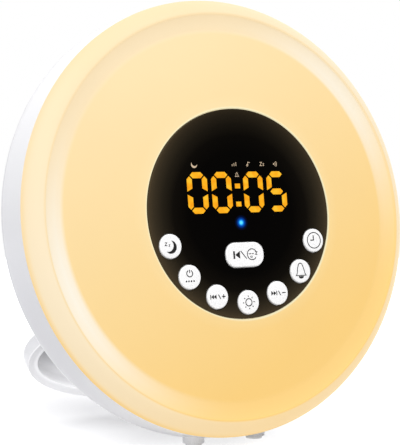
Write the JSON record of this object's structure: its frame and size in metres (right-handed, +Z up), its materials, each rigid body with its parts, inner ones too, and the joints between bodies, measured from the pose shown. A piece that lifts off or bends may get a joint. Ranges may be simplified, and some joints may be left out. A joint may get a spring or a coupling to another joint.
{
  "type": "sunrise alarm clock",
  "caption": "Round sunrise alarm clock with a glowing domed diffuser, dark face panel with push keys and lit digits, and a folding oval rear foot.",
  "frame": {"origin": "on the surface the clock stands on, under the middle of its width and depth", "axes": "+Z up, the face looks towards -Y and leans back, +X to the right of someone facing it"},
  "size_m": [0.1732, 0.0916, 0.1742],
  "materials": {
    "milky_diffuser": "satin, milky translucent, lit from inside",
    "panel_black": "gloss",
    "housing_white": "satin",
    "key_white": "satin",
    "switch_black": "matt",
    "switch_steel": "satin",
    "board_green": "solder mask",
    "screw_steel": "zinc plated",
    "cable_grey": "matt",
    "amber_light": "lit",
    "blue_light": "lit",
    "reflector_white": "matt",
    "lamp_board_white": "solder mask",
    "lamp_chip_yellow": "matt",
    "socket_black": "satin",
    "shell_white": "fine satin to gloss",
    "gasket_black": "foam",
    "frame_steel": "satin",
    "cone_paper": "matt",
    "magnet_grey": "matt",
    "cell_steel": "polished",
    "key_ink": "pad-printed ink, on the keys in the render only",
    "pale_mark": "lit marks over the digits, in the render only",
    "rubber_pale": "matt"
  },
  "bodies": {
    "case": {"front_diffuser": "milky_diffuser", "face_panel": "panel_black", "control_housing": "housing_white", "key_switches": "switch_steel", "key_board": "board_green", "key_board_screws": "screw_steel", "key_cable": "cable_grey", "display_case": "switch_black", "lit_segments": "amber_light", "status_light": "blue_light", "light_reflector": "reflector_white", "lamp_board": "lamp_board_white", "lamp_chips": "lamp_chip_yellow", "reflector_screws": "screw_steel", "control_screws": "screw_steel", "main_board": "board_green", "board_parts": "switch_black", "board_screws": "screw_steel", "power_socket": "socket_black", "speaker_grille": "shell_white", "speaker_gasket": "gasket_black", "speaker_frame": "frame_steel", "speaker_cone": "cone_paper", "speaker_magnet": "magnet_grey", "speaker_screws": "screw_steel", "cell_holder": "socket_black", "coin_cell": "cell_steel", "cell_cover": "shell_white", "cell_cover_screw": "screw_steel", "back_shell": "shell_white", "housing_screws": "screw_steel", "front_feet": "rubber_pale", "stand_pin": "screw_steel"},
    "sleep_button": {"sleep_key": "key_white", "sleep_plunger": "switch_black"},
    "power_button": {"power_key": "key_white", "power_plunger": "switch_black"},
    "previous_button": {"previous_key": "key_white", "previous_plunger": "switch_black"},
    "light_button": {"light_key": "key_white", "light_plunger": "switch_black"},
    "next_button": {"next_key": "key_white", "next_plunger": "switch_black"},
    "alarm_button": {"alarm_key": "key_white", "alarm_plunger": "switch_black"},
    "clock_button": {"clock_key": "key_white", "clock_plunger": "switch_black"},
    "snooze_button": {"snooze_key": "key_white", "snooze_plunger": "switch_black"},
    "foot": {"stand_foot": "shell_white", "heel_pad": "rubber_pale"}
  },
  "joints": [
    {"name": "sleep_press", "type": "slide", "parent": "case", "child": "sleep_button", "axis": [0, 0.9894, -0.145], "range_m": [0, 0.0008], "stiffness_N_per_m": 900},
    {"name": "power_press", "type": "slide", "parent": "case", "child": "power_button", "axis": [0, 0.9894, -0.145], "range_m": [0, 0.0008], "stiffness_N_per_m": 900},
    {"name": "previous_press", "type": "slide", "parent": "case", "child": "previous_button", "axis": [0, 0.9894, -0.145], "range_m": [0, 0.0008], "stiffness_N_per_m": 900},
    {"name": "light_press", "type": "slide", "parent": "case", "child": "light_button", "axis": [0, 0.9894, -0.145], "range_m": [0, 0.0008], "stiffness_N_per_m": 900},
    {"name": "next_press", "type": "slide", "parent": "case", "child": "next_button", "axis": [0, 0.9894, -0.145], "range_m": [0, 0.0008], "stiffness_N_per_m": 900},
    {"name": "alarm_press", "type": "slide", "parent": "case", "child": "alarm_button", "axis": [0, 0.9894, -0.145], "range_m": [0, 0.0008], "stiffness_N_per_m": 900},
    {"name": "clock_press", "type": "slide", "parent": "case", "child": "clock_button", "axis": [0, 0.9894, -0.145], "range_m": [0, 0.0008], "stiffness_N_per_m": 900},
    {"name": "snooze_press", "type": "slide", "parent": "case", "child": "snooze_button", "axis": [0, 0.9894, -0.145], "range_m": [0, 0.0008], "stiffness_N_per_m": 900},
    {"name": "foot_fold", "type": "hinge", "parent": "case", "child": "foot", "pos_m": [0, 0.01371, 0.05082], "axis": [-1, 0, 0], "range_deg": [0, 40]}
  ]
}
